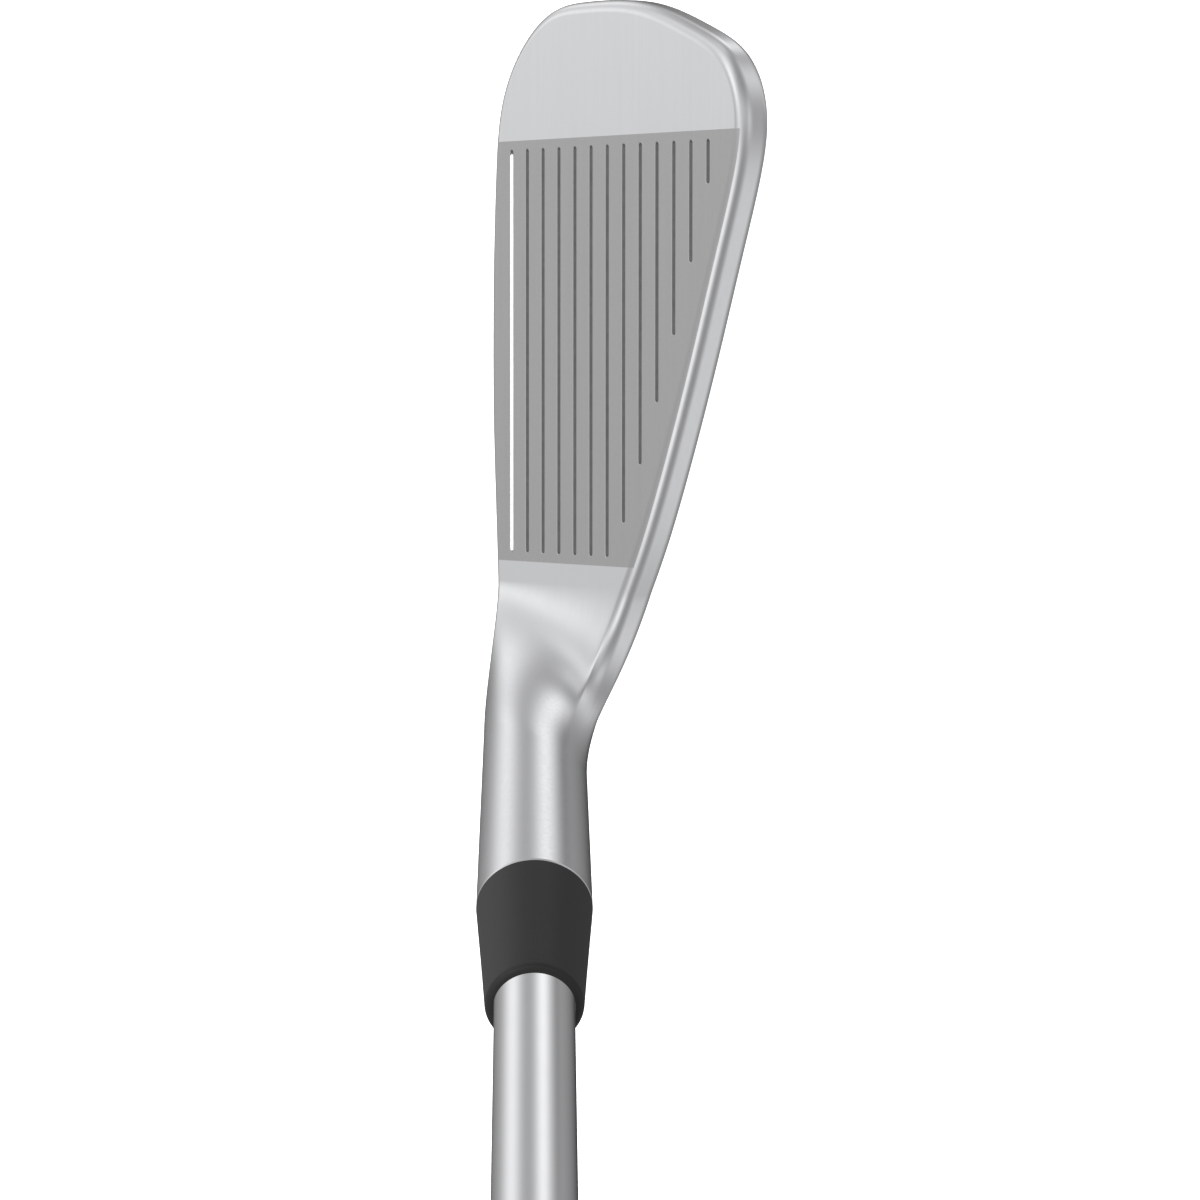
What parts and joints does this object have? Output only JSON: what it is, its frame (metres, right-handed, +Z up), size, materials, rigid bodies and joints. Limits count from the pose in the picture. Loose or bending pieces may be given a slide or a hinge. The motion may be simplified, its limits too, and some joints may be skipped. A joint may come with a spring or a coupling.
{
  "type": "iron golf club",
  "caption": "Right-handed mid iron: forged cavity-back head with score lines, black ferrule, stepped steel shaft and rubber grip.",
  "frame": {"origin": "where the sole touches the ground, below the middle of the score lines", "axes": "+Z up, the face looks towards -Y and leans back, toe at -X and heel at +X; the shaft axis lies in the plane Y = 0 and leans towards +X at the lie angle of 62.5 degrees"},
  "size_m": [0.5214, 0.0413, 0.8388],
  "materials": {
    "chromed_forging": "satin chrome plate, blasted over the score zone",
    "white_paint": "matt paint fill",
    "tungsten": "turned tungsten alloy",
    "damper_rubber": "soft elastomer",
    "badge_metal": "brushed and anodised",
    "epoxy": "cured adhesive",
    "brass_plug": "turned brass",
    "ferrule_plastic": "black, turned and polished",
    "shaft_chrome": "bright chrome plate",
    "label_film": "plain printed film, with no mark",
    "tape": "double-sided cloth tape",
    "grip_rubber": "moulded rubber with a cross-hatched texture",
    "cap_rubber": "moulded rubber, smooth"
  },
  "bodies": {
    "root": {"club_head": "chromed_forging", "leading_groove_paint": "white_paint", "toe_weight": "tungsten", "cavity_damper": "damper_rubber", "cavity_badge": "badge_metal", "hosel_epoxy": "epoxy", "tip_weight": "brass_plug", "ferrule": "ferrule_plastic", "shaft": "shaft_chrome", "shaft_band": "label_film", "grip_tape": "tape", "grip_sleeve": "grip_rubber", "grip_cap": "cap_rubber"}
  },
  "joints": []
}
